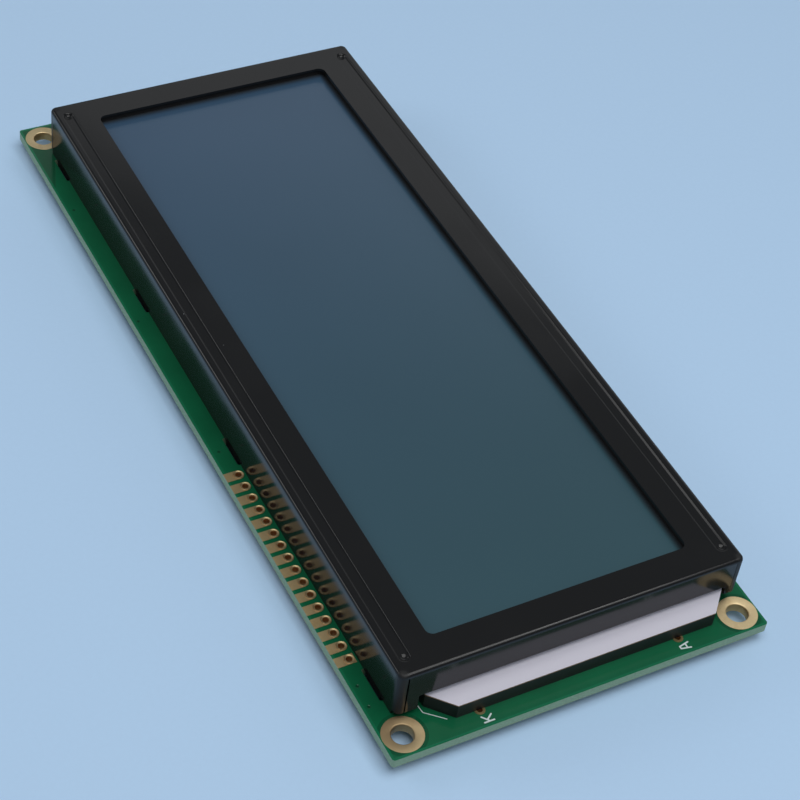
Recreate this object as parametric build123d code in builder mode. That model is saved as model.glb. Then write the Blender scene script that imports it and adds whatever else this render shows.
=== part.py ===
from build123d import *
import os

# Character LCD module, face up: +X is the reading direction, +Y is up on the display and
# +Z comes out of the screen. The origin is under the middle of the circuit board, on the
# surface that the module lies on. Sizes are in millimetres.

# Circuit board
board_length = 146.0
board_width = 62.5
board_thickness = 1.6
board_corner = 0.5
foil = 0.05
plating = 0.1

# Resin domes over the chips, which the module lies on
dome_height = 1.8
dome_flat = 2.0
dome_bulge = 0.45
controller_radius = 8.0
controller_y = 8.0
driver_count = 4
driver_radius = 6.5
driver_spacing = 24.0
driver_y = -8.0

# Mounting holes in the board's corners
mount_from_end = 3.5
mount_from_side = 3.25
mount_hole = 3.3
mount_ring = 6.2

# Header pads along the upper edge
pad_count = 16
pad_pitch = 2.54
pad_width = 1.75
pad_hole = 1.0
pad_from_end = 18.0
pad_from_edge = 2.15

# Pressed steel bezel, which leaves a margin of the board uncovered all round
bezel_margin_x = 6.4
bezel_margin_y = 2.8
bezel_height = 9.2
bezel_x = -0.3
bezel_y = -0.5
steel = 0.5
corner_inside = 0.5
fold_inside = 0.1
short_wall_clearance = 1.0
corner_wrap = 1.25
seam_upper = 0.25
seam_lower = 0.1
leg_clearance_upper = 1.3
leg_clearance_lower = 0.1
leg_foot_upper = 0.95
leg_foot_lower = 2.0
bead_from_end = 2.5
bead_from_edge = 2.2
bead_width = 1.8
bead_depth = 0.3
bead_slope = 40.0
bead_rim = 0.25
dimple_width = 1.2
dimple_depth = 0.2

# Window and tabs of the bezel
window_border_x = 5.25
window_border_y = 6.95
window_corner = 1.2
tab_from_near_end = 6.65
tab_from_far_end = 6.15
middle_tab_near = 11.75
middle_tab_far = 24.75
tab_width = 4.6
tab_fold = 3.0
tab_bend = 0.6
slot_length = 6.0
slot_outside = 0.4
slot_inside = 0.6
slot_corner = 0.3

# Display cell, from the front to the back
gasket_thickness = 1.05
gasket_setback = 0.3
gasket_rim = 1.2
polarizer_thickness = 0.2
polarizer_margin = 0.1
glass_thickness = 1.1
glass_upper_clearance = 0.9
glass_lower_clearance = 1.85
glass_end_clearance = 1.6
cell_gap = 0.05
seal_width = 0.9
seal_inset = 1.0

# Conducting rubber strip that joins the glass to the board
strip_width = 2.2
strip_clearance = 0.35
strip_margin = 1.0
strip_inset = 1.8

# Backlight
tray_reach = 3.05
tray_height = 2.55
tray_floor = 0.5
tray_end_wall = 3.0
tray_clearance = 0.15
tray_side_lower = 1.85
tray_end_clearance = 0.3
chamfer_x = 3.6
chamfer_y = 3.4
sheet_thickness = 0.2
reflector_thickness = 0.15
guide_lap = 0.9
guide_clearance = 0.1
diffuser_clearance = 0.15
opening_lap = 0.3
frame_clearance = 0.2

# Light source and terminals of the backlight
strip_board_width = 3.4
strip_board_thickness = 0.6
led_pitch = 4.0
led_length = 3.0
led_depth = 1.2
led_height = 1.0
led_clearance = 0.3
terminal_inset = 4.9
terminal_out = 0.05
terminal_hole = 0.9
terminal_ring = 1.65
pin_diameter = 0.7
pin_inset = 1.0
pin_head = 0.4
pin_tail = 0.9
pin_clearance = 0.2
solder_height = 0.7
solder_tip = 0.05
solder_hollow = 0.12

# Small parts on the back of the board
resistor_count = 6
resistor_pitch = 4.0
resistor_length = 3.1
resistor_width = 1.6
resistor_height = 0.6
capacitor_count = 3
capacitor_pitch = 26.0
capacitor_length = 2.0
capacitor_width = 1.25
capacitor_height = 0.9
cap_length = 0.45
cap_wrap = 0.04
resistor_from_end = 10.5
small_parts_y = 19.0

# Lengths and widths that follow from the board's, from the outside in
mount_spacing_x = board_length - 2 * mount_from_end
mount_spacing_y = board_width - 2 * mount_from_side
bezel_length = board_length - 2 * bezel_margin_x
bezel_width = board_width - 2 * bezel_margin_y
bezel_inside_x = bezel_length / 2 - steel
bezel_inside_y = bezel_width / 2 - steel
corner_radius = corner_inside + steel
fold_radius = fold_inside + steel
bead_length = bezel_length - 2 * bead_from_end
window_length = bezel_length - 2 * window_border_x
window_width = bezel_width - 2 * window_border_y
tab_places = (
    tab_from_near_end - bezel_length / 2,
    -middle_tab_near,
    middle_tab_far,
    bezel_length / 2 - tab_from_far_end,
)

# Levels and places that follow from the sizes above
board_bottom = dome_height
board_top = board_bottom + board_thickness
bezel_top = board_top + bezel_height
inside_top = bezel_top - steel
polarizer_top = inside_top - gasket_thickness
front_glass_top = polarizer_top - polarizer_thickness
front_glass_bottom = front_glass_top - glass_thickness
rear_glass_top = front_glass_bottom - cell_gap
rear_glass_bottom = rear_glass_top - glass_thickness
tray_top = board_top + tray_height
sheet_top = tray_top + sheet_thickness
short_wall_foot = sheet_top + short_wall_clearance
pad_places = [
    (number * pad_pitch + pad_from_end - board_length / 2, board_width / 2 - pad_from_edge)
    for number in range(pad_count)
]
window_place = (bezel_x, bezel_y)
bezel_near = bezel_x - bezel_length / 2
bezel_upper = bezel_y + bezel_width / 2
bezel_lower = bezel_y - bezel_width / 2
glass_length = 2 * bezel_inside_x - 2 * glass_end_clearance
ledge = strip_clearance + strip_width + strip_margin
glass_upper = bezel_y + bezel_inside_y - glass_upper_clearance
glass_lower = bezel_y - bezel_inside_y + glass_lower_clearance
rear_glass_upper = glass_upper - ledge
tray_near = bezel_near - tray_reach
tray_upper = rear_glass_upper + strip_clearance - tray_clearance
tray_lower = bezel_y - bezel_inside_y + tray_side_lower
tray_far = bezel_x + bezel_inside_x - tray_end_clearance
opening_upper = tray_upper + leg_clearance_upper
opening_lower = tray_lower - leg_clearance_lower
pocket_near = tray_near + tray_end_wall
guide_length = window_length + 2 * guide_lap
guide_width = window_width + 2 * guide_lap
guide_near = bezel_x - guide_length / 2
led_count = int(guide_width / led_pitch)
strip_board_far = guide_near - led_clearance
strip_board_near = strip_board_far - strip_board_width
terminal_offset = window_width / 2 - terminal_inset
terminal_places = [(tray_near - terminal_out, bezel_y + side * terminal_offset) for side in (1, -1)]
pin_places = [(strip_board_near + pin_inset, y) for x, y in terminal_places]

os.makedirs("parts", exist_ok=True)


def save(part, label):
    part.label = label
    export_step(part, f"parts/{label}.step")


# Circuit board: drilled for the corner rings, the header and the terminals, and slotted
# for the bezel's tabs
with BuildPart() as circuit_board:
    with BuildSketch(Plane.XY.offset(board_bottom)):
        RectangleRounded(board_length, board_width, board_corner)
    extrude(amount=board_thickness)
    with BuildSketch(Plane.XY.offset(board_bottom)):
        with GridLocations(mount_spacing_x, mount_spacing_y, 2, 2):
            Circle(mount_hole / 2 + plating)
        with Locations(pad_places):
            Circle(pad_hole / 2 + plating)
        with Locations(terminal_places + pin_places):
            Circle(terminal_hole / 2 + plating)
        slot_width = slot_outside + steel + slot_inside
        slot_middle = bezel_width / 2 + slot_outside - slot_width / 2
        for side in (1, -1):
            with Locations([(bezel_x + place, bezel_y + side * slot_middle) for place in tab_places]):
                RectangleRounded(slot_length, slot_width, slot_corner)
    extrude(amount=board_thickness, mode=Mode.SUBTRACT)
save(circuit_board.part, "circuit_board")


# Plated ring on both faces of the board, joined through each corner hole
with BuildPart() as corner_hole_rings:
    for level in (board_bottom - foil, board_top):
        with BuildSketch(Plane.XY.offset(level)):
            with GridLocations(mount_spacing_x, mount_spacing_y, 2, 2):
                Circle(mount_ring / 2)
        extrude(amount=foil)
    with BuildSketch(Plane.XY.offset(board_bottom)):
        with GridLocations(mount_spacing_x, mount_spacing_y, 2, 2):
            Circle(mount_hole / 2 + plating)
    extrude(amount=board_thickness)
    with BuildSketch(Plane.XY.offset(board_bottom - foil)):
        with GridLocations(mount_spacing_x, mount_spacing_y, 2, 2):
            Circle(mount_hole / 2)
    extrude(amount=board_thickness + 2 * foil, mode=Mode.SUBTRACT)
save(corner_hole_rings.part, "corner_hole_rings")


def header_pads(places, inner_end_square):
    """Edge pads on both faces, from the board's edge to just past the plated hole."""
    with BuildPart() as pads:
        for level in (board_bottom - foil, board_top):
            with BuildSketch(Plane.XY.offset(level)):
                with Locations([(x, y + pad_from_edge / 2) for x, y in places]):
                    Rectangle(pad_width, pad_from_edge)
                with Locations(places):
                    if inner_end_square:
                        Rectangle(pad_width, pad_width)
                    else:
                        Circle(pad_width / 2)
            extrude(amount=foil)
        with BuildSketch(Plane.XY.offset(board_bottom)):
            with Locations(places):
                Circle(pad_hole / 2 + plating)
        extrude(amount=board_thickness)
        with BuildSketch(Plane.XY.offset(board_bottom - foil)):
            with Locations(places):
                Circle(pad_hole / 2)
        extrude(amount=board_thickness + 2 * foil, mode=Mode.SUBTRACT)
    return pads.part


save(header_pads(pad_places[:1], True), "header_pad_one")
save(header_pads(pad_places[1:], False), "header_pads")


# Plated rings of the backlight: two empty ones beside the tray, and two under it that take
# the pins
with BuildPart() as terminal_pads:
    for level in (board_bottom - foil, board_top):
        with BuildSketch(Plane.XY.offset(level)):
            with Locations(terminal_places + pin_places):
                Circle(terminal_ring / 2)
        extrude(amount=foil)
    with BuildSketch(Plane.XY.offset(board_bottom)):
        with Locations(terminal_places + pin_places):
            Circle(terminal_hole / 2 + plating)
    extrude(amount=board_thickness)
    with BuildSketch(Plane.XY.offset(board_bottom - foil)):
        with Locations(terminal_places + pin_places):
            Circle(terminal_hole / 2)
    extrude(amount=board_thickness + 2 * foil, mode=Mode.SUBTRACT)
save(terminal_pads.part, "terminal_pads")


# Bezel: one pressed sheet, folded down on four sides, with its tabs through the board
with BuildPart() as bezel:
    with BuildSketch(Plane.XY.offset(board_top)):
        with Locations(window_place):
            RectangleRounded(bezel_length, bezel_width, corner_radius)
    extrude(amount=bezel_height)
    fillet(bezel.faces().sort_by(Axis.Z)[-1].edges(), radius=fold_radius)
    offset(amount=-steel, openings=bezel.faces().sort_by(Axis.Z)[0])

    # The short walls stop above the backlight, with a longer leg on each side of it that ends
    # above the board and takes the corner with it
    with BuildSketch(Plane.XY.offset(board_top)):
        with Locations((bezel_x, (opening_upper + opening_lower) / 2)):
            Rectangle(bezel_length, opening_upper - opening_lower)
    extrude(amount=short_wall_foot - board_top, mode=Mode.SUBTRACT)
    for inner, outer, foot in (
        (opening_upper, bezel_upper, leg_foot_upper),
        (opening_lower, bezel_lower, leg_foot_lower),
    ):
        with BuildSketch(Plane.XY.offset(board_top)):
            with Locations((bezel_x, (inner + outer) / 2)):
                with GridLocations(bezel_length - corner_wrap, 0, 2, 1):
                    Rectangle(corner_wrap, abs(outer - inner))
        extrude(amount=foot, mode=Mode.SUBTRACT)

    # Seams where the short walls meet the ends of the long ones
    for outer, inward, seam in ((bezel_upper, -1, seam_upper), (bezel_lower, 1, seam_lower)):
        with BuildSketch(Plane.XY.offset(board_top)):
            with Locations((bezel_x, outer + inward * (corner_wrap + seam / 2))):
                with GridLocations(bezel_length - steel, 0, 2, 1):
                    Rectangle(2 * steel, seam)
        extrude(amount=bezel_height - fold_radius, mode=Mode.SUBTRACT)

    # Beads pressed down along both long edges, proud of the sheet's underside
    bead_spacing = bezel_width - 2 * bead_from_edge
    with BuildSketch(Plane.XY.offset(inside_top)):
        with Locations(window_place):
            with GridLocations(0, bead_spacing, 1, 2):
                SlotOverall(bead_length, bead_width)
    extrude(amount=-bead_depth, taper=bead_slope)
    with BuildSketch(Plane.XY.offset(bezel_top)):
        with Locations(window_place):
            with GridLocations(0, bead_spacing, 1, 2):
                SlotOverall(bead_length, bead_width)
    extrude(amount=-bead_depth, taper=bead_slope, mode=Mode.SUBTRACT)
    rims = bezel.faces().sort_by(Axis.Z)[-1].inner_wires()
    fillet([edge for rim in rims for edge in rim.edges()], radius=bead_rim)

    # Round dimple at each end of the beads
    dimple_radius = (dimple_width**2 / 4 + dimple_depth**2) / (2 * dimple_depth)
    dimple_level = bezel_top - bead_depth - dimple_depth + dimple_radius
    with Locations((bezel_x, bezel_y, dimple_level)):
        with GridLocations(bead_length - bead_width, bead_spacing, 2, 2):
            Sphere(dimple_radius, mode=Mode.SUBTRACT)

    # Window
    with BuildSketch(Plane.XY.offset(bezel_top)):
        with Locations(window_place):
            RectangleRounded(window_length, window_width, window_corner)
    extrude(amount=-steel, mode=Mode.SUBTRACT)

    # Tabs: down through the board, then folded in against its back
    for side in (1, -1):
        for place in tab_places:
            across = Plane(origin=(bezel_x + place, bezel_y, 0), x_dir=(0, side, 0), z_dir=(side, 0, 0))
            with BuildSketch(across) as across_tab:
                with BuildLine():
                    Polyline(
                        (bezel_width / 2, board_top + steel),
                        (bezel_width / 2, board_bottom - steel),
                        (bezel_width / 2 - tab_fold, board_bottom - steel),
                        (bezel_width / 2 - tab_fold, board_bottom),
                        (bezel_width / 2 - steel, board_bottom),
                        (bezel_width / 2 - steel, board_top + steel),
                        close=True,
                    )
                make_face()
                outer_bend = across_tab.vertices().group_by(Axis.Y)[0].sort_by(Axis.X)[-1]
                fillet(outer_bend, radius=tab_bend)
            extrude(amount=tab_width / 2, both=True)
save(bezel.part, "bezel")


def flat_frame(inner, outer, place, level, thickness, inner_corner=0.0):
    """A flat frame given by its inner and outer length and width."""
    with BuildPart() as frame:
        with BuildSketch(Plane.XY.offset(level)):
            with Locations(place):
                Rectangle(*outer)
                if inner_corner:
                    RectangleRounded(*inner, inner_corner, mode=Mode.SUBTRACT)
                else:
                    Rectangle(*inner, mode=Mode.SUBTRACT)
        extrude(amount=thickness)
    return frame.part


def plate(length, width, place, level, thickness):
    """A flat rectangular plate standing on the given level."""
    with BuildPart() as sheet:
        with BuildSketch(Plane.XY.offset(level)):
            with Locations(place):
                Rectangle(length, width)
        extrude(amount=thickness)
    return sheet.part


# Foam gasket between the bezel and the display
gasket_inner = (window_length + 2 * gasket_setback, window_width + 2 * gasket_setback)
gasket_outer = (gasket_inner[0] + 2 * gasket_rim, gasket_inner[1] + 2 * gasket_rim)
window_gasket = flat_frame(
    gasket_inner, gasket_outer, window_place, polarizer_top, gasket_thickness, window_corner
)
save(window_gasket, "window_gasket")

# Display cell: polarizers outside two glasses, with the liquid crystal sealed between them
polarizer_size = (gasket_outer[0] + 2 * polarizer_margin, gasket_outer[1] + 2 * polarizer_margin)
save(plate(*polarizer_size, window_place, front_glass_top, polarizer_thickness), "front_polarizer")

front_glass_place = (bezel_x, (glass_upper + glass_lower) / 2)
front_glass_width = glass_upper - glass_lower
save(
    plate(glass_length, front_glass_width, front_glass_place, front_glass_bottom, glass_thickness),
    "front_glass",
)

rear_glass_place = (bezel_x, (rear_glass_upper + glass_lower) / 2)
rear_glass_width = rear_glass_upper - glass_lower
save(
    plate(glass_length, rear_glass_width, rear_glass_place, rear_glass_bottom, glass_thickness),
    "rear_glass",
)

seal_outer = (glass_length - 2 * seal_inset, rear_glass_width - 2 * seal_inset)
crystal_size = (seal_outer[0] - 2 * seal_width, seal_outer[1] - 2 * seal_width)
save(flat_frame(crystal_size, seal_outer, rear_glass_place, rear_glass_top, cell_gap), "cell_seal")
save(plate(*crystal_size, rear_glass_place, rear_glass_top, cell_gap), "liquid_crystal")

rear_polarizer_bottom = rear_glass_bottom - polarizer_thickness
rear_polarizer_size = (window_length + 2 * opening_lap, window_width + 2 * opening_lap)
save(plate(*rear_polarizer_size, window_place, rear_polarizer_bottom, polarizer_thickness), "rear_polarizer")

# Conducting rubber strip under the front glass's ledge
strip_length = glass_length - 2 * strip_inset
strip_y = rear_glass_upper + strip_clearance + strip_width / 2
save(
    plate(strip_length, strip_width, (bezel_x, strip_y), board_top, front_glass_bottom - board_top),
    "rubber_strip",
)


def tray_outline():
    """Outline of the backlight's tray, with its two near corners cut off."""
    with BuildSketch() as outline:
        with BuildLine():
            Polyline(
                (tray_far, tray_upper),
                (tray_near + chamfer_x, tray_upper),
                (tray_near, tray_upper - chamfer_y),
                (tray_near, tray_lower + chamfer_y),
                (tray_near + chamfer_x, tray_lower),
                (tray_far, tray_lower),
                close=True,
            )
        make_face()
    return outline.sketch


# Tray of the backlight, open at the top, with a way down for each pin and a relief over each
# ring beside it
guide_far = bezel_x + guide_length / 2
pocket_length = guide_far + guide_clearance - pocket_near
pocket_width = guide_width + 2 * guide_clearance
with BuildPart() as backlight_tray:
    with BuildSketch(Plane.XY.offset(board_top)):
        add(tray_outline())
    extrude(amount=tray_height)
    with BuildSketch(Plane.XY.offset(board_top + tray_floor)):
        with Locations((pocket_near + pocket_length / 2, bezel_y)):
            Rectangle(pocket_length, pocket_width)
    extrude(amount=tray_height - tray_floor, mode=Mode.SUBTRACT)
    for places, depth in ((terminal_places, foil), (pin_places, tray_floor)):
        with BuildSketch(Plane.XY.offset(board_top)):
            with Locations(places):
                Circle(terminal_ring / 2 + pin_clearance)
        extrude(amount=depth, mode=Mode.SUBTRACT)
save(backlight_tray.part, "backlight_tray")

# White sheet that covers the tray round the lit area
opening_size = (window_length + 2 * opening_lap, window_width + 2 * opening_lap)
with BuildPart() as cover_sheet:
    with BuildSketch(Plane.XY.offset(tray_top)):
        add(tray_outline())
        with Locations(window_place):
            Rectangle(*opening_size, mode=Mode.SUBTRACT)
    extrude(amount=sheet_thickness)
save(cover_sheet.part, "backlight_cover_sheet")

# Reflector, light guide and diffuser, from the tray's floor up
floor_top = board_top + tray_floor
save(plate(guide_length, guide_width, window_place, floor_top, reflector_thickness), "reflector_film")
guide_bottom = floor_top + reflector_thickness
save(plate(guide_length, guide_width, window_place, guide_bottom, tray_top - guide_bottom), "light_guide")
diffuser_size = (opening_size[0] - 2 * diffuser_clearance, opening_size[1] - 2 * diffuser_clearance)
save(plate(*diffuser_size, window_place, tray_top, sheet_thickness), "diffuser_film")

# White frame that holds the glass at its height over the lit area
with BuildPart() as glass_frame:
    with BuildSketch(Plane.XY.offset(sheet_top)):
        frame_near = bezel_x - bezel_inside_x + tray_end_clearance
        with Locations(((tray_far + frame_near) / 2, (tray_upper + tray_lower) / 2)):
            Rectangle(tray_far - frame_near, tray_upper - tray_lower)
        with Locations(window_place):
            Rectangle(
                rear_polarizer_size[0] + 2 * frame_clearance,
                rear_polarizer_size[1] + 2 * frame_clearance,
                mode=Mode.SUBTRACT,
            )
    extrude(amount=rear_glass_bottom - sheet_top)
save(glass_frame.part, "glass_frame")

# Strip of light sources along the near end of the light guide, drilled for its two pins
strip_board_x = strip_board_far - strip_board_width / 2
with BuildPart() as led_strip_board:
    with BuildSketch(Plane.XY.offset(floor_top)):
        with Locations((strip_board_x, bezel_y)):
            Rectangle(strip_board_width, led_count * led_pitch)
        with Locations(pin_places):
            Circle(pin_diameter / 2, mode=Mode.SUBTRACT)
    extrude(amount=strip_board_thickness)
save(led_strip_board.part, "led_strip_board")
strip_board_top = floor_top + strip_board_thickness
with BuildPart() as backlight_leds:
    with BuildSketch(Plane.XY.offset(strip_board_top)):
        with Locations((strip_board_far - led_depth / 2, bezel_y)):
            with GridLocations(0, led_pitch, 1, led_count):
                Rectangle(led_depth, led_length)
    extrude(amount=led_height)
save(backlight_leds.part, "backlight_leds")


def terminal_pin(place):
    """A round pin from just above the strip's face, straight down through tray and board."""
    foot = board_bottom - pin_tail
    with BuildPart() as pin:
        with BuildSketch(Plane.XY.offset(foot)):
            with Locations(place):
                Circle(pin_diameter / 2)
        extrude(amount=strip_board_top + pin_head - foot)
    return pin.part


for label, place in zip(("cathode_pin", "anode_pin"), pin_places):
    save(terminal_pin(place), label)

# Solder cones round the pins on the board's back
with BuildPart() as terminal_solder:
    for x, y in pin_places:
        with BuildSketch(Plane(origin=(x, y, 0), x_dir=(1, 0, 0), z_dir=(0, -1, 0))):
            with BuildLine():
                foot = board_bottom - foil
                Line((pin_diameter / 2, foot), (terminal_ring / 2, foot))
                tip = (pin_diameter / 2 + solder_tip, foot - solder_height)
                SagittaArc((terminal_ring / 2, foot), tip, -solder_hollow)
                Line(tip, (pin_diameter / 2, foot - solder_height))
                Line((pin_diameter / 2, foot - solder_height), (pin_diameter / 2, foot))
            make_face()
        revolve(axis=Axis((x, y, 0), (0, 0, 1)))
save(terminal_solder.part, "terminal_solder")


def resin_dome(radius, x, y):
    """A shallow dome of resin under the board, over a bare chip."""
    with BuildPart() as dome:
        with BuildSketch(Plane(origin=(x, y, 0), x_dir=(1, 0, 0), z_dir=(0, -1, 0))):
            with BuildLine():
                SagittaArc((radius, board_bottom), (dome_flat, 0), dome_bulge)
                Line((dome_flat, 0), (0, 0))
                Line((0, 0), (0, board_bottom))
                Line((0, board_bottom), (radius, board_bottom))
            make_face()
        revolve(axis=Axis((x, y, 0), (0, 0, 1)))
    return dome.part


save(resin_dome(controller_radius, 0, controller_y), "controller_dome")
for number in range(driver_count):
    x = (number - (driver_count - 1) / 2) * driver_spacing
    save(resin_dome(driver_radius, x, driver_y), f"driver_dome_{number + 1}")


def chip_part(length, width, height, x, y):
    """A surface-mounted part under the board, with a metal cap wrapped round each end."""
    with BuildPart() as chip:
        with BuildSketch(Plane.XY.offset(board_bottom)):
            with Locations((x, y)):
                Rectangle(length, width)
        extrude(amount=-height + cap_wrap)
        with BuildSketch(Plane.XY.offset(board_bottom)):
            with Locations((x, y)):
                with GridLocations(length - cap_length, 0, 2, 1):
                    Rectangle(cap_length, width + 2 * cap_wrap)
        extrude(amount=-height)
    return chip.part


for number in range(resistor_count):
    x = resistor_from_end - board_length / 2 + number * resistor_pitch
    save(chip_part(resistor_length, resistor_width, resistor_height, x, small_parts_y),
         f"resistor_{number + 1}")
for number in range(capacitor_count):
    x = (number - (capacitor_count - 1) / 2) * capacitor_pitch
    save(chip_part(capacitor_length, capacitor_width, capacitor_height, x, -small_parts_y),
         f"capacitor_{number + 1}")
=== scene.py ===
"""Finishes, plated rims, printed marks and stage of a character LCD module."""

import math
from functools import reduce

import bpy
from bpy.props import FloatProperty, FloatVectorProperty, IntProperty, PointerProperty
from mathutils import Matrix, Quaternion, Vector


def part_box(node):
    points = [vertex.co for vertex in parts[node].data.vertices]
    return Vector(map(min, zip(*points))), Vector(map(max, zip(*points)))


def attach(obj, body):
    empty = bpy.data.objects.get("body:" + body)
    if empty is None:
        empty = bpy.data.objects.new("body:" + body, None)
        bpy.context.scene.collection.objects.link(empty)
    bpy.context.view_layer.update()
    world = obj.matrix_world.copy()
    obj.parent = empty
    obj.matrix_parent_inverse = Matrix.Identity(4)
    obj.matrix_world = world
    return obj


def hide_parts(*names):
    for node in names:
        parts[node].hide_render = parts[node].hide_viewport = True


bl_info = {
    "name": "Character LCD Module",
    "version": (1, 0, 0),
    "blender": (4, 5, 0),
    "location": "3D View > Sidebar > Display",
    "description": "Finishes, plated rims, printed marks and stage of a character LCD module",
    "category": "Object",
}

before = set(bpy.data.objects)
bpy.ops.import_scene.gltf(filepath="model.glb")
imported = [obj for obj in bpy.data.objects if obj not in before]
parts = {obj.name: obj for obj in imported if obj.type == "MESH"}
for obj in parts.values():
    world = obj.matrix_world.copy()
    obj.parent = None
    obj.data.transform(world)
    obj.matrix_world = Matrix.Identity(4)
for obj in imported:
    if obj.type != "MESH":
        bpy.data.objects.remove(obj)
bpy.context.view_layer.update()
board_low, board_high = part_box("circuit_board")
bezel_low, bezel_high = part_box("bezel")
tray_low, tray_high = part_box("backlight_tray")
rings_low, rings_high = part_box("corner_hole_rings")
pad_low, pad_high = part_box("header_pad_one")
pads_low, pads_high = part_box("header_pads")
terminals_low, terminals_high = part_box("terminal_pads")
gasket_low, gasket_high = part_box("window_gasket")
polarizer_low, polarizer_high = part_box("front_polarizer")

MM = 0.001
MERGE_DISTANCE = MM / 1000
PAD_COUNT = 16
BARREL_GAP = 0.1 * MM
GASKET_WIDTH = 1.2 * MM
LETTER_HALF_WIDTH = 0.33
LETTER_GAP = 0.9 * MM
CATHODE_DROP = 1.2 * MM
ANODE_RISE = 0.65 * MM

# Places on the board, in millimetres from its middle
# Middle of the painted darkening on the ring beside the first pad, which stands for the bezel's
# dark reflection and shade on that ring
SHADED_RING_PLACE = (-67.4, 30.0)
TENTED_HOLES = ((-63.5, 30.2), (-59.7, 30.1), (49.5, 30.0), (-11.4, 29.9), (20.0, 30.3))

# Direction across a slanting line, near the far end of the +Y wall, past which the mask is darker
SLANT_X, SLANT_Y = 0.34, 0.94

# Section of a pad's swollen rim: share of the way from hole to edge, height in swells
PAD_LIP = (
    (0.0, -3.0), (0.05, -1.0), (0.2, -0.2), (0.45, 0.15), (0.65, 0.7),
    (0.78, 1.0), (0.88, 0.8), (0.96, -0.2), (0.12, -1.0),
)

# Corners of the printed outline: millimetres along from the tray's end, millimetres across
# from its side, and the share of the clearance that is added across
OUTLINE = ((3.95, 0.0, 1.0), (2.65, 0.0, 0.8), (0.35, -2.1, 0.0))

# Strokes of the terminal letters, in half widths and heights from the letter's middle
CATHODE_STROKES = (
    ((-1, -0.5), (-1, 0.5)),
    ((-1, -0.08), (1, 0.5)),
    ((-0.35, 0.1), (1, -0.5)),
)
ANODE_STROKES = (
    ((-1, -0.5), (-0.4, 0.5)),
    ((-0.4, 0.5), (0.4, 0.5)),
    ((0.4, 0.5), (1, -0.5)),
    ((-0.8, -0.15), (0.8, -0.15)),
)


def length(name, description, millimetres):
    """A property that holds a length, given here in millimetres."""
    return FloatProperty(
        name=name, description=description, default=millimetres * MM, unit="LENGTH", precision=5
    )


def colour(name, description, red, green, blue):
    """A property that holds a colour."""
    return FloatVectorProperty(
        name=name, description=description, default=(red, green, blue),
        subtype="COLOR", min=0, max=1,
    )


def share(name, description, value):
    """A property that holds a share from 0 to 1."""
    return FloatProperty(
        name=name, description=description, default=value, min=0, max=1, subtype="FACTOR"
    )


def angle(name, description, degrees):
    """A property that holds an angle, given here in degrees."""
    return FloatProperty(
        name=name, description=description, default=math.radians(degrees), subtype="ANGLE"
    )


def power(name, description, watts):
    """A property that holds the power of a light."""
    return FloatProperty(name=name, description=description, default=watts, subtype="POWER")


class BoardLook(bpy.types.PropertyGroup):
    """Colours and sizes of the circuit board's surface."""

    mask: colour("Solder mask", "Mask over copper", 0.005, 0.120, 0.049)
    mask_bare: colour(
        "Mask over laminate", "Mask where no copper lies under it", 0.004, 0.084, 0.034
    )
    mask_border: colour(
        "Mask at the border", "Mask between the copper and the board's edge", 0.007, 0.155, 0.068
    )
    core: colour("Laminate", "Cut edge of the board", 0.33, 0.47, 0.30)
    weave: length("Weave pitch", "Distance between the glass threads under the mask", 0.55)
    edge_margin: length(
        "Copper margin", "Bare border between the copper and the board's edge", 0.45
    )
    ring_margin: length("Ring margin", "Width of the bare border round each corner ring", 0.55)
    # How far from the board's middle the slanting line lies, past which the mask is darker
    slant: length("Slant", "Reach of the slanting copper edge from the board's middle", 48.0)


class PlatingLook(bpy.types.PropertyGroup):
    """Colours and sizes of the gold plating."""

    ring_gold: colour("Ring gold", "Plating of the corner rings", 0.86, 0.68, 0.39)
    ring_wall: colour("Ring wall", "Plating inside the corner holes", 0.62, 0.43, 0.20)
    pad_gold: colour("Pad gold", "Plating of the edge pads", 0.62, 0.47, 0.25)
    # Painted darkening: the ring beside the first pad is darkened for the bezel's dark reflection
    # and shade on it
    ring_shade: colour("Painted darkening", "Stain on the ring beside the first pad", 0.40, 0.29, 0.16)
    # Painted shade: the terminals' gold is under half the pad gold's tone, for the tray's shade
    # over them
    painted_shade_gold: colour("Shaded gold", "Plating of the backlight's terminals", 0.27, 0.21, 0.10)
    pad_wall: colour("Pad wall", "Plating inside the edge pads' holes", 0.66, 0.32, 0.12)
    ring: length("Ring radius", "Outer radius of the rings in the corners", 3.1)
    hole: length("Hole radius", "Radius of the corner holes", 1.65)
    rim: length("Rim", "Rounding of the corner rings' rims", 0.2)
    pad_hole: length("Pad hole radius", "Radius inside the rims of the edge pads", 0.47)
    pad_swell: length("Pad swell", "Height of the swollen rims of the edge pads", 0.07)
    roughness: share("Roughness", "Roughness of the clean gold", 0.42)
    metal: share("Metal", "Share of the plating's light that is mirrored", 0.92)
    facets: IntProperty(name="Facets", description="Facets round a plated rim", default=48, min=12)


class PrintLook(bpy.types.PropertyGroup):
    """White print on the board."""

    ink: colour("Ink", "White marking ink", 0.66, 0.75, 0.74)
    thickness: length("Thickness", "Height of the ink above the mask", 0.02)
    lift: length(
        "Lift", "Further height of each stroke, so that no two faces share a plane", 0.003
    )
    line: length("Line", "Width of the printed outline", 0.13)
    letter: length("Letter", "Height of the terminal letters", 1.55)
    stroke: length("Stroke", "Width of the letters' strokes", 0.24)
    clearance: length("Clearance", "Distance from the tray to its printed outline", 0.62)


class BezelLook(bpy.types.PropertyGroup):
    """Black paint of the bezel."""

    paint: colour("Paint", "Gloss black paint", 0.011, 0.011, 0.011)
    roughness: share("Roughness", "Roughness of the clean paint", 0.11)
    dust: colour("Dust", "Specks of dust on the paint", 0.20, 0.21, 0.22)
    peel: length("Peel", "Height of the paint's slight waves", 0.0012)
    dull: share(
        "Dull corners", "Further roughness where the sheet is drawn round its corners", 0.42
    )


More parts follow.
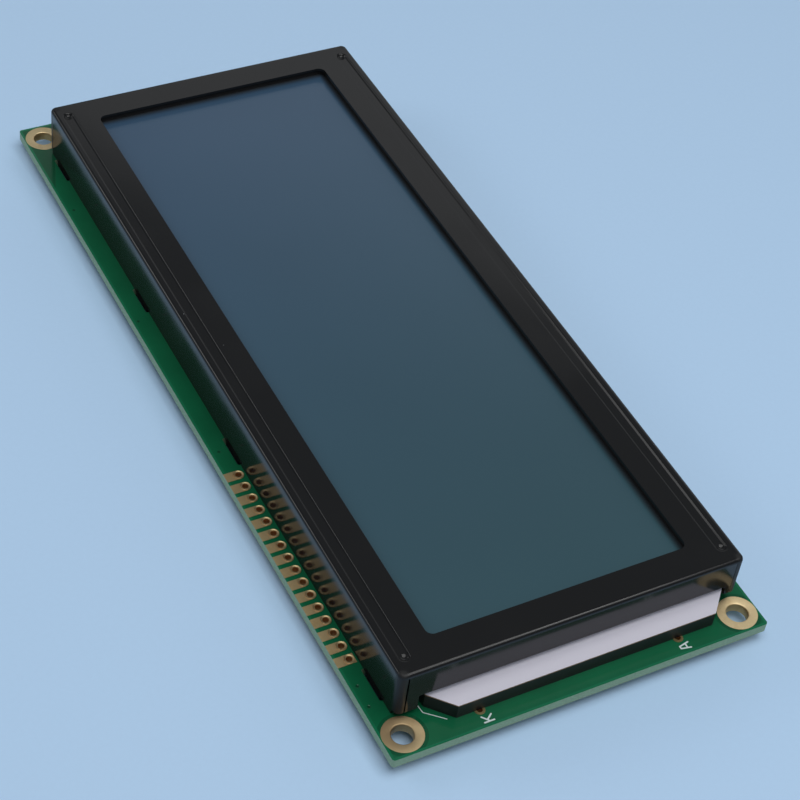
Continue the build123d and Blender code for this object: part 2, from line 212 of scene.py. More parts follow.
class CellLook(bpy.types.PropertyGroup):
    """Colours of the display cell, its gasket and its rubber strip."""

    # The near and far tints carry a painted sheen as well as the cell's colour: the far one is
    # brighter
    near: colour("Near tint", "Tint at the reader's left end", 0.037, 0.088, 0.107)
    far: colour("Far tint", "Tint at the reader's right end", 0.045, 0.091, 0.156)
    dust: colour("Dust", "Specks of dust on the display", 0.40, 0.42, 0.45)
    roughness: share("Roughness", "Anti-glare roughness of the front polarizer", 0.2)
    grain: length("Grain", "Height of the anti-glare grain", 0.0002)
    # The dark band beside the gasket is partly the cell's unlit border and partly painted shadow
    # of the bezel
    border: length("Border", "Width of the dark border beside the gasket", 1.5)
    border_and_shadow_tone: colour("Border and shadow tone", "Tint beside the gasket", 0.026, 0.030, 0.034)
    glass: colour("Glass", "Two glasses of the cell", 0.82, 0.90, 0.88)
    seal: colour("Seal", "Seal between the glasses", 0.62, 0.60, 0.55)
    crystal: colour("Crystal", "Liquid crystal between the glasses", 0.18, 0.24, 0.26)
    foam: colour("Foam", "Foam of the gasket", 0.02, 0.02, 0.021)
    rubber: colour("Rubber", "Rubber of the strip beside the glass", 0.42, 0.22, 0.26)
    rubber_layer: colour("Rubber layer", "Conducting layers of the strip", 0.03, 0.03, 0.03)


class BacklightLook(bpy.types.PropertyGroup):
    """Colours of the backlight and the frame over it."""

    film: colour("Film", "White cover sheet", 0.75, 0.73, 0.82)
    film_edge: colour("Film edge", "Cut edge of the cover sheet", 0.36, 0.22, 0.13)
    tray: colour("Tray", "Black plastic of the tray", 0.010, 0.010, 0.011)
    solder: colour("Solder", "Tin of the pins and their solder", 0.62, 0.62, 0.60)
    moulding: colour("Moulding", "White frame that holds the glass", 0.72, 0.73, 0.74)
    source: colour("Light source", "Small lamps at the backlight's end", 0.80, 0.78, 0.62)
    guide: colour("Light guide", "Clear plate that spreads the light", 0.90, 0.95, 0.95)


class SmallPartsLook(bpy.types.PropertyGroup):
    """Colours of the parts at the back of the board."""

    resin: colour("Resin", "Casting resin of the domes", 0.02, 0.019, 0.018)
    resin_dark: colour("Dark resin", "Darker streaks of the resin", 0.012, 0.012, 0.013)
    resistor: colour("Resistor", "Body of the resistors", 0.012, 0.012, 0.013)
    capacitor: colour("Capacitor", "Body of the capacitors", 0.30, 0.19, 0.10)
    metal: colour("Cap metal", "Metal over the ends of a chip part", 0.66, 0.66, 0.64)
    cap: length("Cap", "Length of the metal at each end of a chip part", 0.45)


class StageLook(bpy.types.PropertyGroup):
    """Floor, lights and camera."""

    floor: colour("Floor", "Pale floor", 0.53, 0.74, 0.98)
    sky: colour("Sky", "Soft light from all round", 0.62, 0.70, 0.80)
    sky_strength: FloatProperty(
        name="Sky strength", description="Strength of the light all round", default=0.22
    )
    panel_power: power("Panel power", "Power of the panel overhead", 2.7)
    back_power: power("Back power", "Power of the large panel behind", 1.25)
    near_power: power("Near power", "Power of the small panel that lights the near fold", 0.14)
    left_power: power("Left power", "Power of the panel that lights the beads", 0.4)
    azimuth: angle("Azimuth", "Direction of the camera round the module", 146.73)
    elevation: angle("Elevation", "Height of the camera over the surface", 44.77)
    roll: angle("Roll", "Lean of the camera", 8.47)
    distance: length("Distance", "From the aim to the camera", 340.14)
    aim_x: length("Aim X", "Point of the surface that the camera looks at", -8.78)
    aim_y: length("Aim Y", "Point of the surface that the camera looks at", -3.31)
    lens: FloatProperty(
        name="Lens", description="Focal length on a 36 mm sensor, in millimetres", default=94.75
    )


class Socket:
    """An output of a node, on which sums are written as plain expressions."""

    def __init__(self, finish, output):
        self.finish = finish
        self.output = output

    def sum(self, operation, *values):
        """A Vector Math node if a colour or vector takes part, and else a Math node."""
        wide = any(
            isinstance(value, (tuple, Vector))
            or (isinstance(value, Socket) and value.output.type in ("VECTOR", "RGBA"))
            for value in values
        )
        kind = "ShaderNodeVectorMath" if wide else "ShaderNodeMath"
        if wide:
            values = [
                (value,) * 3 if isinstance(value, (int, float)) else value for value in values
            ]
        return self.finish.node(kind, {"operation": operation}, dict(enumerate(values)))

    def __add__(self, other):
        return self.sum("ADD", self, other)

    def __radd__(self, other):
        return self.sum("ADD", other, self)

    def __sub__(self, other):
        return self.sum("SUBTRACT", self, other)

    def __rsub__(self, other):
        return self.sum("SUBTRACT", other, self)

    def __mul__(self, other):
        return self.sum("MULTIPLY", self, other)

    def __rmul__(self, other):
        return self.sum("MULTIPLY", other, self)

    def __abs__(self):
        return self.sum("ABSOLUTE", self)

    def __gt__(self, other):
        return self.sum("GREATER_THAN", self, other)

    def __lt__(self, other):
        return self.sum("LESS_THAN", self, other)

    def root(self):
        """The square root."""
        return self.sum("SQRT", self)

    def least(self, other):
        """The lesser of two values."""
        return self.sum("MINIMUM", self, other)

    def most(self, other):
        """The greater of two values."""
        return self.sum("MAXIMUM", self, other)

    def wave(self, pitch):
        """A sine wave of the given pitch."""
        return self.sum("SINE", self * (math.tau / pitch))

    def step(self, low, high):
        """A smooth step from 0 at low to 1 at high."""
        return self.finish.node(
            "ShaderNodeMapRange",
            {"interpolation_type": "SMOOTHSTEP"},
            {"Value": self, "From Min": low, "From Max": high},
        )

    def past(self, place, blur):
        """1 past a place and 0 before it, blurred a little to each side."""
        return self.step(place - blur, place + blur)


class Finish:
    """A material in the making."""

    def __init__(self, name, **constants):
        self.material = bpy.data.materials.new(name)
        self.material.use_nodes = True
        self.nodes = self.material.node_tree.nodes
        self.links = self.material.node_tree.links
        self.shader = self.nodes["Principled BSDF"]
        for socket, value in constants.items():
            label = socket.replace("_", " ").title().replace("Ior", "IOR")
            self.shader.inputs[label].default_value = value
        self.place = self.node("ShaderNodeTexCoord", output="Object") * (1 / MM)
        self.x, self.y = (
            self.node("ShaderNodeSeparateXYZ", inputs={"Vector": self.place}, output=axis)
            for axis in "XY"
        )

    def node(self, kind, settings=None, inputs=None, output=0):
        """Adds a node, with its settings first and then the values or links of its sockets."""
        node = self.nodes.new(kind)
        for name, value in (settings or {}).items():
            setattr(node, name, value)
        for name, value in (inputs or {}).items():
            if isinstance(value, Socket):
                self.links.new(value.output, node.inputs[name])
            elif node.inputs[name].type == "RGBA":
                node.inputs[name].default_value = (*value[:3], 1)
            else:
                node.inputs[name].default_value = value
        return Socket(self, node.outputs[output])

    def feed(self, **sockets):
        """Links what changes over the surface to the shader."""
        for name, value in sockets.items():
            self.links.new(value.output, self.shader.inputs[name.replace("_", " ").title()])

    def mix(self, factor, first, second):
        """A colour between two others."""
        return self.node(
            "ShaderNodeMix", {"data_type": "RGBA"}, {0: factor, 6: first, 7: second}, output=2
        )

    def noise(self, pitch, detail=3.0, place=None):
        """Cloudy noise with features of about the given size in millimetres."""
        return self.node(
            "ShaderNodeTexNoise",
            inputs={"Vector": place or self.place, "Scale": 1 / pitch, "Detail": detail},
        )

    def facing_up(self):
        """1 on faces that look up or down, and 0 on the sides."""
        normal = self.node("ShaderNodeNewGeometry", output="Normal")
        upright = self.node("ShaderNodeSeparateXYZ", inputs={"Vector": normal}, output="Z")
        return abs(upright).step(0.4, 0.6)

    def from_point(self, x, y):
        """Distance in the board's plane from a point given in millimetres."""
        return ((self.x - x) * (self.x - x) + (self.y - y) * (self.y - y)).root()

    def dot(self, x, y, inner, outer):
        """1 within the inner radius round a point, and 0 beyond the outer one."""
        return 1 - self.from_point(x, y).step(inner, outer)

    def from_sides(self, low, high):
        """Distances inwards from the ends, and from the long sides, of a part's box."""
        middle = (low + high) / 2 / MM
        reach = (high - low) / 2 / MM
        return reach.x - abs(self.x - middle.x), reach.y - abs(self.y - middle.y)

    def bump(self, height):
        """A normal from a height given in millimetres."""
        return self.node(
            "ShaderNodeBump", inputs={"Height": height, "Distance": MM, "Strength": 1.0}
        )

    def specks(self, pitch, radius, kept):
        """Sparse dots, on the given share of the cells of a grid of that pitch."""
        away = self.node(
            "ShaderNodeTexVoronoi",
            inputs={"Vector": self.place, "Scale": 1 / pitch},
            output="Distance",
        )
        tone = Socket(self, away.output.node.outputs["Color"])
        chosen = self.node("ShaderNodeSeparateColor", inputs={"Color": tone}) < kept
        reach = radius / pitch
        return (1 - away.step(reach * 0.6, reach)) * chosen


def shade(tone, level):
    """A tone made darker."""
    return tuple(part * level for part in tone)


def dress(material, *names):
    """Gives CAD pieces a finish, in their own material slots."""
    for name in names:
        slots = parts[name].material_slots
        if not slots:
            parts[name].data.materials.append(material)
        for slot in slots:
            slot.material = material


def start():
    """Leaves nothing selected, in object mode."""
    bpy.ops.object.select_all(action="DESELECT")


def take(name):
    """Names the new active piece."""
    piece = bpy.context.active_object
    piece.name = name
    piece.data.name = name
    return piece


def join(pieces, name):
    """Joins pieces into one with its object at the origin."""
    start()
    for piece in pieces:
        piece.select_set(True)
    bpy.context.view_layer.objects.active = pieces[0]
    bpy.ops.object.join()
    bpy.ops.object.transform_apply(location=True, rotation=True, scale=True)
    return take(name)


def seat(piece, material, slot, *replaced):
    """Gives a new piece its finish, its body and the CAD nodes that it stands for."""
    piece.data.materials.clear()
    piece.data.materials.append(material)
    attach(piece, "root")
    if replaced:
        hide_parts(*replaced)


def lathe(name, centre, profile, facets):
    """Turns a closed profile of (radius, height) points about an upright axis."""
    start()
    x, y = centre
    radius, level = profile[0]
    bpy.ops.mesh.primitive_circle_add(vertices=facets, radius=radius, location=(x, y, level))
    bpy.ops.object.mode_set(mode="EDIT")
    for new_radius, new_level in [*profile[1:], profile[0]]:
        rise = (0, 0, new_level - level)
        bpy.ops.mesh.extrude_edges_move(TRANSFORM_OT_translate={"value": rise})
        grow = new_radius / radius
        bpy.ops.transform.resize(value=(grow, grow, 1), center_override=(x, y, new_level))
        radius, level = new_radius, new_level
    bpy.ops.mesh.select_all(action="SELECT")
    bpy.ops.mesh.remove_doubles(threshold=MERGE_DISTANCE)
    bpy.ops.mesh.normals_make_consistent(inside=False)
    bpy.ops.object.mode_set(mode="OBJECT")
    bpy.ops.object.transform_apply(location=True, rotation=True, scale=True)
    bpy.ops.object.shade_smooth_by_angle(angle=math.radians(40))
    return take(name)


def copies(piece, offsets):
    """The piece and a copy of it, with its own mesh, at each offset in the plane."""
    made = [piece]
    for x, y in offsets:
        start()
        piece.select_set(True)
        bpy.context.view_layer.objects.active = piece
        bpy.ops.object.duplicate(linked=False)
        bpy.ops.transform.translate(value=(x, y, 0))
        made.append(bpy.context.active_object)
    return made


def stroke(start_point, end_point, width, level, thickness):
    """A straight line of ink with round ends, standing on a level."""
    start()
    run = Vector(end_point) - Vector(start_point)
    middle = (Vector(start_point) + Vector(end_point)) / 2
    bpy.ops.mesh.primitive_plane_add(size=1, location=(middle.x, middle.y, level))
    line = bpy.context.active_object
    line.scale = (run.length + width, width, 1)
    bpy.ops.object.transform_apply(location=False, rotation=False, scale=True)
    bpy.ops.object.mode_set(mode="EDIT")
    bpy.ops.mesh.bevel(affect="VERTICES", offset=width / 2, segments=4, clamp_overlap=True)
    bpy.ops.mesh.remove_doubles(threshold=MERGE_DISTANCE)
    bpy.ops.mesh.extrude_region_move(TRANSFORM_OT_translate={"value": (0, 0, thickness)})
    bpy.ops.mesh.select_all(action="SELECT")
    bpy.ops.mesh.normals_make_consistent(inside=False)
    bpy.ops.object.mode_set(mode="OBJECT")
    line.rotation_euler.z = math.atan2(run.y, run.x)
    return line


def solder_mask(name, look, ring_radius):
    """Green mask over copper and laminate, with open laminate on the cut edges."""
    finish = Finish(name, ior=1.5)
    ring = ring_radius / MM
    from_end, from_side = finish.from_sides(board_low, board_high)
    wander = finish.noise(pitch=3.0) * 0.08
    inner = (from_end.least(from_side) + wander).past(look.edge_margin / MM, blur=0.05)
    side_x = abs(finish.x) - (rings_high.x / MM - ring)
    side_y = abs(finish.y) - (rings_high.y / MM - ring)
    from_ring = (side_x * side_x + side_y * side_y).root()
    copper = inner * from_ring.past(ring + look.ring_margin / MM, blur=0.05)
    # Past a slanting line near the far end of the +Y wall, the mask takes its darker tone and
    # loses its raised step
    slant = (finish.x * SLANT_X + finish.y * SLANT_Y).past(look.slant / MM, blur=0.06)
    copper = copper * (1 - slant * (finish.x > 0))
    dots = reduce(Socket.most, [finish.dot(x, y, 0.16, 0.34) for x, y in TENTED_HOLES])
    flecks = finish.specks(pitch=4.0, radius=0.12, kept=0.3)
    mottle = finish.noise(pitch=6.0) * 0.35 + 0.82
    tone = finish.mix(copper, look.mask_bare, look.mask)
    tone = finish.mix(inner, look.mask_border, tone)
    tone = tone * mottle * (1 - dots * 0.55) * (1 - flecks * 0.4)
    pitch = look.weave / MM
    threads = finish.x.wave(pitch) * finish.y.wave(pitch)
    along_board = finish.place * (0.25, 0.25, 1.0)
    layers = finish.noise(pitch=0.12, detail=2.0, place=along_board).step(0.35, 0.65)
    edge = finish.mix(layers, shade(look.core, 0.8), look.core)
    up = finish.facing_up()
    waves = finish.noise(pitch=1.6) * 0.004
    finish.feed(
        base_color=finish.mix(up, edge, tone),
        roughness=0.6 - up * (0.5 - finish.noise(pitch=9.0) * 0.08),
        normal=finish.bump(threads * 0.0006 + copper * 0.006 + waves - dots * 0.03),
    )
    return finish.material


def gold_plating(name, look, gold, wall, centres=()):
    """Gold over copper, a little stained, with turned lines round the given centres."""
    finish = Finish(name, metallic=look.metal)
    stains = finish.noise(pitch=1.6, detail=4.0).step(0.45, 0.8)
    fine = finish.noise(pitch=0.3, detail=2.0)
    tarnish = tuple(part * kept for part, kept in zip(gold, (0.72, 0.62, 0.5)))
    tone = finish.mix(stains * 0.5, gold, tarnish) * (fine * 0.14 + 0.93)
    tone = finish.mix(finish.facing_up(), wall, tone)
    height = finish.noise(pitch=0.16, detail=2.0) * 0.0008 + finish.noise(pitch=1.1) * 0.0012
    if centres:
        reach = reduce(Socket.least, [finish.from_point(x / MM, y / MM) for x, y in centres])
        height = height + reach.wave(0.22) * 0.0016
        # The ring beside the first pad is painted darker, for the bezel's dark reflection and
        # shade on it
        tone = finish.mix(finish.dot(*SHADED_RING_PLACE, 1.0, 8.5), tone, look.ring_shade)
    finish.feed(
        base_color=tone,
        roughness=stains * 0.08 + fine * 0.06 + look.roughness,
        normal=finish.bump(height),
    )
    return finish.material


def black_paint(name, look):
    """Gloss black paint with slight waves, smears and a few specks of dust."""
    finish = Finish(name, ior=1.5, specular_ior_level=0.36)
    smears = finish.noise(pitch=14.0, detail=4.0).step(0.4, 0.75)
    specks = finish.specks(pitch=5.0, radius=0.09, kept=0.3)
    waves = finish.noise(pitch=1.1, detail=2.0) * (look.peel / MM)
    from_end, from_side = finish.from_sides(bezel_low, bezel_high)
    corners = (1 - from_end.step(0.6, 1.8)) * (1 - from_side.step(0.6, 1.8))
    finish.feed(
        base_color=finish.mix(specks, look.paint, look.dust),
        roughness=smears * 0.06 + look.roughness + specks * 0.5 + corners * look.dull,
        normal=finish.bump(waves + specks * 0.02),
    )
    return finish.material


def display_face(name, look):
    """Dark film with a coloured sheen that turns from one tint to another along the display."""
    finish = Finish(name, ior=1.5)
    beyond, lean = 20, 0.25
    # The tint turns bluer and brighter towards the far end: partly the cell's own colour, partly a
    # painted sheen
    along = (finish.x + finish.y * lean).step(
        polarizer_low.x / MM - beyond, polarizer_high.x / MM + beyond
    )
    cloud = finish.noise(pitch=30.0, detail=1.0) * 0.12 + 0.94
    specks = finish.specks(pitch=9.0, radius=0.06, kept=0.25)
    from_end, from_side = finish.from_sides(gasket_low, gasket_high)
    inside = from_end.least(from_side).step(
        GASKET_WIDTH / MM, (GASKET_WIDTH + look.border) / MM
    )
    tone = finish.mix(along, look.near, look.far) * cloud
    # Beside the gasket the tint goes dark: partly the cell's unlit border, partly painted shadow
    # of the bezel
    tone = finish.mix(inside, look.border_and_shadow_tone, tone)
    grain = finish.noise(pitch=0.12, detail=1.0) * (look.grain / MM)
    finish.feed(
        base_color=finish.mix(specks, tone, look.dust),
        roughness=finish.noise(pitch=0.2, detail=1.0) * 0.05 + look.roughness,
        normal=finish.bump(grain + specks * 0.01),
    )
    return finish.material


def plain_plastic(name, tone, roughness, grain, coarse=2.0, edge=None):
    """Moulded plastic or film with a fine grain, and another tone on its cut edges."""
    finish = Finish(name, ior=1.48)
    surface = finish.mix(finish.noise(pitch=coarse * 4) * 0.25, tone, shade(tone, 0.8))
    if edge is not None:
        surface = finish.mix(finish.facing_up(), edge, surface)
    finish.feed(
        base_color=surface,
        roughness=finish.noise(pitch=coarse) * 0.12 + (roughness - 0.06),
        normal=finish.bump(finish.noise(pitch=0.15, detail=2.0) * grain),
    )
    return finish.material


def foam(name, tone):
    """Foam with open cells."""
    finish = Finish(name, ior=1.4)
    cell = 0.18
    cells = finish.node(
        "ShaderNodeTexVoronoi", {"feature": "F1"}, {"Vector": finish.place, "Scale": 1 / cell}
    )
    finish.feed(
        base_color=finish.mix(cells, (0.006, 0.006, 0.006), tone),
        roughness=cells * 0.1 + 0.85,
        normal=finish.bump(cells * 0.05),
    )
    return finish.material


def tinned(name, tone):
    """Tinned wire and solder, with soft flow lines."""
    finish = Finish(name, metallic=1.0)
    flow = finish.noise(pitch=0.5, detail=4.0)
    finish.feed(
        base_color=finish.mix(flow, tone, shade(tone, 0.7)),
        roughness=flow * 0.25 + 0.15,
        normal=finish.bump(flow * 0.03),
    )
    return finish.material


def clear_part(name, tone, roughness):
    """Clear glass or acrylic with faint ripples."""
    finish = Finish(name, ior=1.5, transmission_weight=0.9)
    ripple = finish.noise(pitch=2.5, detail=2.0)
    finish.feed(
        base_color=finish.mix(ripple, tone, shade(tone, 0.92)),
        roughness=ripple * 0.04 + roughness,
        normal=finish.bump(ripple * 0.002),
    )
    return finish.material


def striped_rubber(name, look):
    """Rubber with the dark conducting layers that cross it."""
    finish = Finish(name, ior=1.4)
    layers = finish.x.wave(0.18).step(-0.2, 0.2)
    finish.feed(
        base_color=finish.mix(layers, look.rubber, look.rubber_layer),
        roughness=finish.noise(pitch=0.6) * 0.2 + 0.55,
        normal=finish.bump(layers * 0.004 + finish.noise(pitch=0.3) * 0.006),
    )
    return finish.material


def casting_resin(name, look):
    """Black casting resin, glossy and a little uneven."""
    finish = Finish(name, ior=1.52)
    waves = finish.noise(pitch=4.5, detail=2.0)
    ripple = finish.noise(pitch=0.9, detail=2.0)
    finish.feed(
        base_color=finish.mix(waves, look.resin_dark, look.resin),
        roughness=finish.noise(pitch=1.8) * 0.22 + 0.12,
        normal=finish.bump(waves * 0.16 + ripple * 0.012),
    )
    return finish.material


def chip_finish(part, look, body):
    """A chip part's body, with bright metal over its two ends."""
    finish = Finish(part + "_finish", ior=1.5)
    from_end, _ = finish.from_sides(*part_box(part))
    metal = 1 - from_end.past(look.cap / MM, blur=0.02)
    grain = finish.noise(pitch=0.2)
    finish.feed(
        base_color=finish.mix(metal, body, look.metal) * (grain * 0.3 + 0.85),
        metallic=metal,
        roughness=grain * 0.2 + 0.32 - metal * 0.06,
        normal=finish.bump(grain * 0.02),
    )
    return finish.material


class FinishBoard(bpy.types.Operator):
    """Gives the circuit board its green mask and bare edges"""

    bl_idname = "display.finish_board"
    bl_label = "Circuit board"

    def execute(self, context):
        look = context.scene.display_board
        ring = context.scene.display_plating.ring
        mask = solder_mask("green_solder_mask", look, ring)
        dress(mask, "circuit_board", "led_strip_board")
        return {"FINISHED"}


class MakePlating(bpy.types.Operator):
    """Makes the plated rims of the holes and gives pads and rings their gold"""

    bl_idname = "display.make_plating"
    bl_label = "Gold plating"

    def execute(self, context):
        look = context.scene.display_plating
        pad_gold = gold_plating("pad_gold", look, look.pad_gold, look.pad_wall)
        # The terminal pads get a darker copy of the gold, painted shade for the tray beside them
        painted_shade_gold = gold_plating("painted_shade_gold", look, look.painted_shade_gold, look.pad_wall)
        dress(pad_gold, "header_pad_one", "header_pads")
        dress(painted_shade_gold, "terminal_pads")
        self.corner_rings(look)
        self.pad_rims(look, pad_gold)
        return {"FINISHED"}

    def corner_rings(self, look):
        """The rings of the four corner holes, with rounded rims and a barrel between them."""
        top, bottom = rings_high.z, rings_low.z
        outer, hole, rim = look.ring, look.hole, look.rim
        middle_x, middle_y = rings_high.x - outer, rings_high.y - outer
        centres = [(x * middle_x, y * middle_y) for x in (1, -1) for y in (1, -1)]
        barrel = hole + BARREL_GAP
        soft = (top - board_high.z) * 0.4
        arc = [math.radians(turn) for turn in (0, 22.5, 45, 67.5, 90)]
        lip = [(hole + rim * (1 - math.cos(a)), top - rim * (1 - math.sin(a))) for a in arc]
        profile = [
            *lip,
            (outer - soft, top),
            (outer, top - soft),
            (outer, board_high.z),
            (barrel, board_high.z),
            (barrel, board_low.z),
            (outer, board_low.z),
            (outer, bottom + soft),
            (outer - soft, bottom),
            *[(radius, bottom + top - level) for radius, level in reversed(lip)],
        ]
        first = lathe("corner_ring", centres[0], profile, look.facets * 2)
        first_x, first_y = centres[0]
        offsets = [(x - first_x, y - first_y) for x, y in centres[1:]]
        rings = join(copies(first, offsets), "corner_rings")
        turned = gold_plating("turned_gold", look, look.ring_gold, look.ring_wall, centres)
        seat(rings, turned, "gold_plating", "corner_hole_rings")

    def pad_rims(self, look, gold):
        """The swollen rims round the holes of the edge pads, on both faces of the board."""
        wide = pad_high.x - pad_low.x
        centre = ((pad_low.x + pad_high.x) / 2, pad_low.y + wide / 2)
        pitch = (pads_high.x - pads_low.x - wide) / (PAD_COUNT - 2)
        reach = wide / 2 - look.pad_hole
        lip = [
            (look.pad_hole + reach * across, pad_high.z + look.pad_swell * up)
            for across, up in PAD_LIP
        ]
        foot = [(radius, pad_low.z + pad_high.z - level) for radius, level in reversed(lip)]
        first = lathe("pad_rim", centre, [*lip, *foot], look.facets // 2)
        offsets = [(number * pitch, 0) for number in range(1, PAD_COUNT)]
        seat(join(copies(first, offsets), "pad_rims"), gold, "gold_plating")


class MakePrint(bpy.types.Operator):
    """Prints the tray's outline and the terminal letters on the board"""

    bl_idname = "display.make_print"
    bl_label = "Printed marks"

    def execute(self, context):
        look = context.scene.display_print
        outline = [
            (tray_low.x + along * MM, tray_high.y + across * MM + look.clearance * clear)
            for along, across, clear in OUTLINE
        ]
        runs = [(*ends, look.line) for ends in zip(outline, outline[1:])]
        tall, half = look.letter, look.letter * LETTER_HALF_WIDTH
        letter_x = terminals_low.x - LETTER_GAP
        cathode_y = terminals_high.y - CATHODE_DROP
        anode_y = terminals_low.y + ANODE_RISE
        for letter_y, strokes in ((cathode_y, CATHODE_STROKES), (anode_y, ANODE_STROKES)):
            for ends in strokes:
                first, last = ((letter_x + half * x, letter_y + tall * y) for x, y in ends)
                runs.append((first, last, look.stroke))
        lines = [
            stroke(first, last, width, board_high.z, look.thickness + number * look.lift)
            for number, (first, last, width) in enumerate(runs)
        ]
        ink = Finish("white_ink", ior=1.45)
        wear = ink.noise(pitch=0.35, detail=4.0)
        ink.feed(
            base_color=ink.mix(wear.step(0.55, 0.8), look.ink, shade(look.ink, 0.75)),
            roughness=wear * 0.2 + 0.45,
            normal=ink.bump(wear * 0.008),
        )
        seat(join(lines, "board_print"), ink.material, "seal")
        return {"FINISHED"}


class FinishBezel(bpy.types.Operator):
    """Paints the bezel"""

    bl_idname = "display.finish_bezel"
    bl_label = "Bezel"

    def execute(self, context):
        dress(black_paint("black_paint", context.scene.display_bezel), "bezel")
        return {"FINISHED"}


class FinishCell(bpy.types.Operator):
    """Finishes the display cell, its gasket and its rubber strip"""

    bl_idname = "display.finish_cell"
    bl_label = "Display cell"

    def execute(self, context):
        look = context.scene.display_cell
        dress(display_face("display_face", look), "front_polarizer", "rear_polarizer")
        dress(clear_part("cell_glass", look.glass, roughness=0.02), "front_glass", "rear_glass")
        seal = plain_plastic("cell_seal", look.seal, roughness=0.6, grain=0.01)
        crystal = plain_plastic("liquid_crystal", look.crystal, roughness=0.3, grain=0.002)
        dress(seal, "cell_seal")
        dress(crystal, "liquid_crystal")
        dress(foam("black_foam", look.foam), "window_gasket")
        dress(striped_rubber("striped_rubber", look), "rubber_strip")
        return {"FINISHED"}


class FinishBacklight(bpy.types.Operator):
    """Finishes the backlight, its light sources, its pins and the frame over it"""

    bl_idname = "display.finish_backlight"
    bl_label = "Backlight"

    def execute(self, context):
        look = context.scene.display_backlight
        tray = plain_plastic("tray_plastic", look.tray, roughness=0.42, grain=0.006)
        film = plain_plastic(
            "white_film", look.film, roughness=0.5, grain=0.0015, coarse=5.0, edge=look.film_edge
        )
        frame_plastic = plain_plastic(
            "white_moulding", look.moulding, roughness=0.45, grain=0.005
        )
        source = plain_plastic("light_source", look.source, roughness=0.35, grain=0.004)
        dress(tray, "backlight_tray")
        dress(film, "backlight_cover_sheet", "diffuser_film", "reflector_film")
        dress(frame_plastic, "glass_frame")
        dress(source, "backlight_leds")
        dress(clear_part("light_guide", look.guide, roughness=0.05), "light_guide")
        dress(tinned("tinned_metal", look.solder), "cathode_pin", "anode_pin", "terminal_solder")
        return {"FINISHED"}


class FinishSmallParts(bpy.types.Operator):
    """Finishes the resin domes and the chip parts at the back of the board"""

    bl_idname = "display.finish_small_parts"
    bl_label = "Small parts"

    def execute(self, context):
        look = context.scene.display_small_parts
        dress(casting_resin("casting_resin", look), *[name for name in parts if "dome" in name])
        for name in parts:
            if name.startswith("resistor"):
                dress(chip_finish(name, look, look.resistor), name)
            if name.startswith("capacitor"):
                dress(chip_finish(name, look, look.capacitor), name)
        return {"FINISHED"}


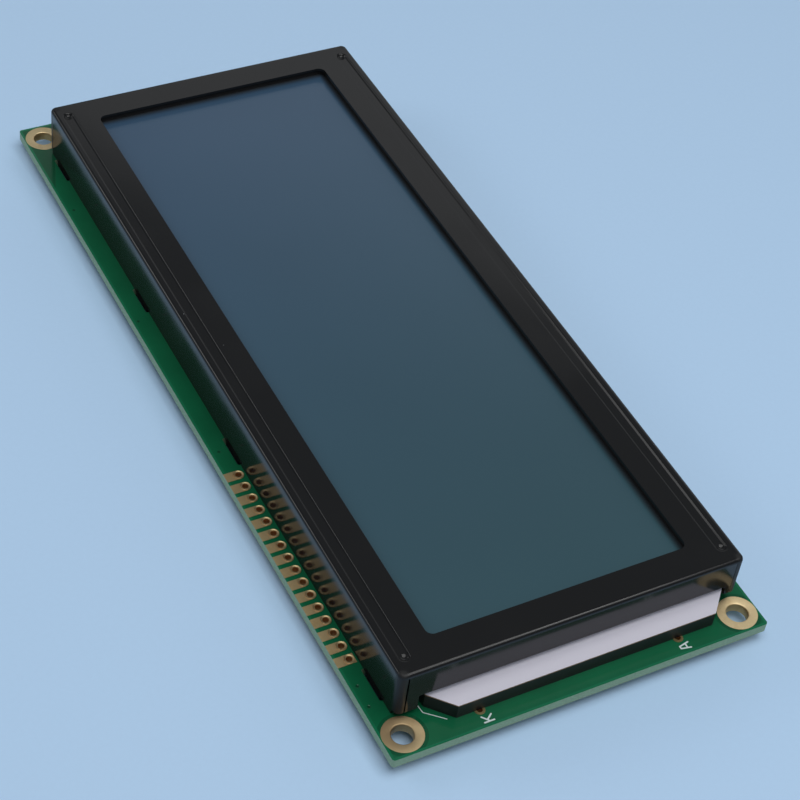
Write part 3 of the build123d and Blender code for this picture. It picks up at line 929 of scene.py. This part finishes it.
class SetStage(bpy.types.Operator):
    """Lays the floor and sets the lights and the camera"""

    bl_idname = "display.set_stage"
    bl_label = "Stage"

    def execute(self, context):
        look = context.scene.display_stage
        self.floor(look)
        self.sky(look)
        for name, place, wide, tall, energy in (
            ("panel_above", (-0.17, -0.03, 0.62), 0.60, 0.60, look.panel_power),
            ("panel_near", (-0.10, -0.28, 0.58), 0.10, 0.10, look.near_power),
            ("panel_left", (0.36, 0.38, 0.31), 0.34, 0.18, look.left_power),
            ("panel_behind", (0.76, -0.84, 0.53), 1.2, 0.76, look.back_power),
        ):
            self.panel(name, place, wide, tall, energy)
        self.camera(look)
        context.scene.view_settings.view_transform = "Standard"
        return {"FINISHED"}

    def floor(self, look):
        """A pale floor, six metres wide."""
        start()
        bpy.ops.mesh.primitive_grid_add(
            x_subdivisions=8, y_subdivisions=8, size=6, location=(0, 0, 0)
        )
        floor = take("floor")
        finish = Finish("pale_floor", ior=1.4)
        grain = finish.noise(pitch=0.8)
        finish.feed(
            base_color=finish.mix(grain, look.floor, shade(look.floor, 0.97)),
            roughness=grain * 0.1 + 0.7,
        )
        floor.data.materials.append(finish.material)

    def sky(self, look):
        """Soft light from all round."""
        world = bpy.data.worlds.new("soft_sky")
        world.use_nodes = True
        background = world.node_tree.nodes["Background"]
        background.inputs["Color"].default_value = (*look.sky, 1)
        background.inputs["Strength"].default_value = look.sky_strength
        bpy.context.scene.world = world

    def panel(self, name, place, wide, tall, energy):
        """An area light that faces the middle of the module."""
        bpy.ops.object.light_add(type="AREA", location=place)
        light = take(name)
        light.data.shape = "RECTANGLE"
        light.data.size = wide
        light.data.size_y = tall
        light.data.energy = energy
        light.rotation_euler = (-Vector(place)).to_track_quat("-Z", "Y").to_euler()

    def camera(self, look):
        """The camera, at the photograph's viewing angle."""
        aim = Vector((look.aim_x, look.aim_y, 0))
        back = Vector((
            math.cos(look.elevation) * math.cos(look.azimuth),
            math.cos(look.elevation) * math.sin(look.azimuth),
            math.sin(look.elevation),
        ))
        bpy.ops.object.camera_add(location=aim + back * look.distance)
        camera = bpy.context.active_object
        turn = (-back).to_track_quat("-Z", "Y") @ Quaternion((0, 0, 1), look.roll)
        camera.rotation_euler = turn.to_euler()
        camera.data.sensor_width = 36
        camera.data.lens = look.lens
        camera.data.clip_start = 0.01
        bpy.context.scene.camera = camera


looks = {
    "display_board": BoardLook,
    "display_plating": PlatingLook,
    "display_print": PrintLook,
    "display_bezel": BezelLook,
    "display_cell": CellLook,
    "display_backlight": BacklightLook,
    "display_small_parts": SmallPartsLook,
    "display_stage": StageLook,
}
steps = (
    FinishBoard,
    MakePlating,
    MakePrint,
    FinishBezel,
    FinishCell,
    FinishBacklight,
    FinishSmallParts,
    SetStage,
)


class DisplayPanel(bpy.types.Panel):
    """Lists the steps that dress the display module"""

    bl_idname = "VIEW3D_PT_display_module"
    bl_label = "Display module"
    bl_space_type = "VIEW_3D"
    bl_region_type = "UI"
    bl_category = "Display"

    def draw(self, context):
        for step in steps:
            self.layout.operator(step.bl_idname)


def register():
    for group in looks.values():
        bpy.utils.register_class(group)
    for name, group in looks.items():
        setattr(bpy.types.Scene, name, PointerProperty(type=group))
    for step in steps:
        bpy.utils.register_class(step)
    bpy.utils.register_class(DisplayPanel)


def unregister():
    bpy.utils.unregister_class(DisplayPanel)
    for step in reversed(steps):
        bpy.utils.unregister_class(step)
    for name, group in looks.items():
        delattr(bpy.types.Scene, name)
        bpy.utils.unregister_class(group)


def main():
    register()
    bpy.ops.display.finish_board()
    bpy.ops.display.make_plating()
    bpy.ops.display.make_print()
    bpy.ops.display.finish_bezel()
    bpy.ops.display.finish_cell()
    bpy.ops.display.finish_backlight()
    bpy.ops.display.finish_small_parts()
    bpy.ops.display.set_stage()


if __name__ == "__main__":
    main()
